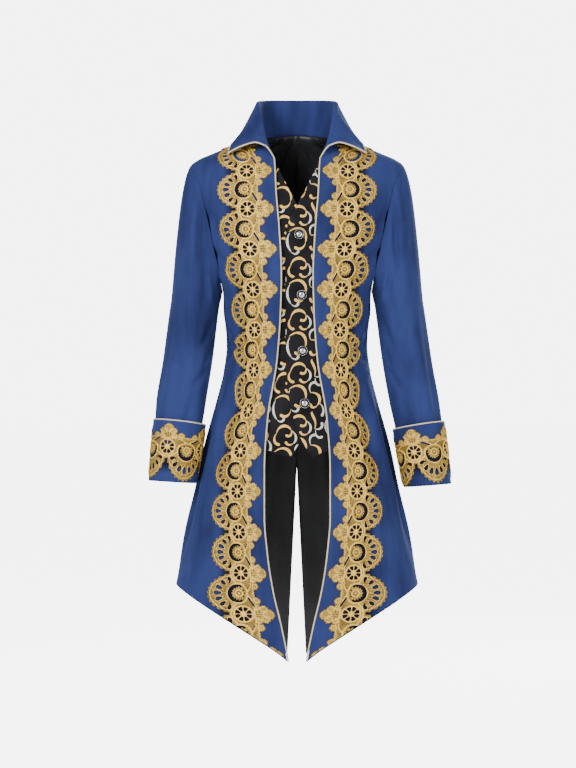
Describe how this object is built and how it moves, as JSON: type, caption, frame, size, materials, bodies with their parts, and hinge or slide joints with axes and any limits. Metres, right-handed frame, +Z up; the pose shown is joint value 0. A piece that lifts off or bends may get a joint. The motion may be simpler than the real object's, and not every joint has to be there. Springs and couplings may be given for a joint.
{
  "type": "frock coat",
  "caption": "Velvet frock coat with a high turn-down collar, lace down the fronts and round the cuffs, piped edges, a back vent and a sewn-in waistcoat front.",
  "frame": {"origin": "middle of the neck opening, level with the collar's front seam, where the coat hangs from the wearer's shoulders", "axes": "+Z up, -Y the way the coat faces, +X the wearer's left"},
  "size_m": [0.6188, 0.3209, 1.1647],
  "materials": {
    "velvet": "short velvet pile with a soft sheen",
    "lining": "smooth satin",
    "brocade": "woven brocade, gold and silver scrolls on black",
    "lace": "heavy corded lace in gold thread",
    "piping": "corded piping in pale gold satin",
    "button": "gloss black rim round a bright faceted centre"
  },
  "bodies": {
    "root": {"front_left": "velvet", "front_right": "velvet", "back_left": "velvet", "back_right": "velvet", "sleeve_left": "velvet", "sleeve_right": "velvet", "cuff_left": "velvet", "cuff_right": "velvet", "collar": "velvet", "lining_left": "lining", "lining_right": "lining", "waistcoat_left": "brocade", "waistcoat_right": "brocade", "front_lace_left": "lace", "front_lace_right": "lace", "cuff_lace_left": "lace", "cuff_lace_right": "lace", "front_piping_left": "piping", "front_piping_right": "piping", "collar_piping": "piping", "cuff_piping_left": "piping", "cuff_piping_right": "piping", "button_1": "button", "button_2": "button", "button_3": "button", "button_4": "button"}
  },
  "joints": []
}
